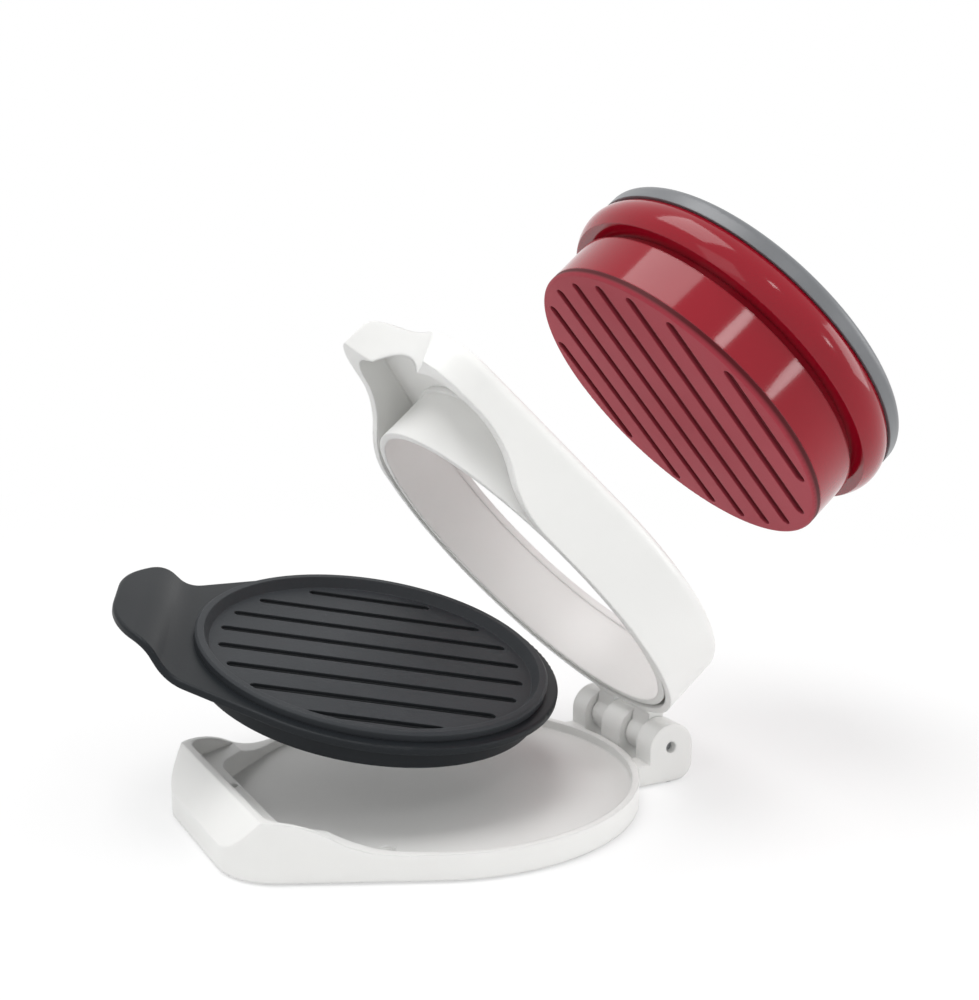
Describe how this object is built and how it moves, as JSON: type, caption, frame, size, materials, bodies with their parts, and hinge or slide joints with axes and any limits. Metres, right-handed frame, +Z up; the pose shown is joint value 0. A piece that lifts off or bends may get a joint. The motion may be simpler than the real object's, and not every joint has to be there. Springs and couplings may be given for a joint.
{
  "type": "hamburger press",
  "caption": "Hamburger press with a hinged white base and lid, a dark ridged plate on a lifting tray, and a round red ridged press that slides into the lid's mould ring.",
  "frame": {"origin": "on the table under the centre of the moulding seat, on the underside of the centre foot", "axes": "+X towards the hinge, +Y along the hinge axis, +Z up"},
  "size_m": [0.2644, 0.1455, 0.2021],
  "materials": {
    "white_plastic": "moulded, satin",
    "dark_plastic": "moulded, fine texture",
    "dark_ridged_plastic": "moulded, fine texture",
    "red_gloss_plastic": "moulded, polished",
    "red_matte_plastic": "moulded, matte",
    "grey_plastic": "moulded, satin",
    "pin_steel": "drawn",
    "foot_rubber": "matte"
  },
  "bodies": {
    "base": {"base_shell": "white_plastic", "hinge_pin": "pin_steel", "foot_centre": "foot_rubber", "foot_front_left": "foot_rubber", "foot_front_right": "foot_rubber", "foot_rear_left": "foot_rubber", "foot_rear_right": "foot_rubber"},
    "lid": {"lid_shell": "white_plastic", "mould_ring": "white_plastic"},
    "tray": {"lifting_tray": "dark_plastic", "patty_plate": "dark_ridged_plastic"},
    "press": {"press_face": "red_matte_plastic", "press_barrel": "red_gloss_plastic", "press_collar": "red_gloss_plastic", "press_cap": "grey_plastic", "cap_screws": "pin_steel"}
  },
  "joints": [
    {"name": "lid_hinge", "type": "hinge", "parent": "base", "child": "lid", "pos_m": [0.077, 0, 0.013], "axis": [0, 1, 0], "range_deg": [-50, 45]},
    {"name": "press_slide", "type": "slide", "parent": "lid", "child": "press", "axis": [0.766, 0, 0.6428], "range_m": [-0.078, 0.02]},
    {"name": "tray_lift", "type": "hinge", "parent": "lid", "child": "tray", "pos_m": [0.04025, 0, -0.00387], "axis": [0.0069, -0.8588, -0.5122], "range_deg": [-47.91, 43.12]}
  ],
  "couplings": [
    {"joint": "tray_lift", "follows": "lid_hinge", "ratio": 0.958}
  ]
}
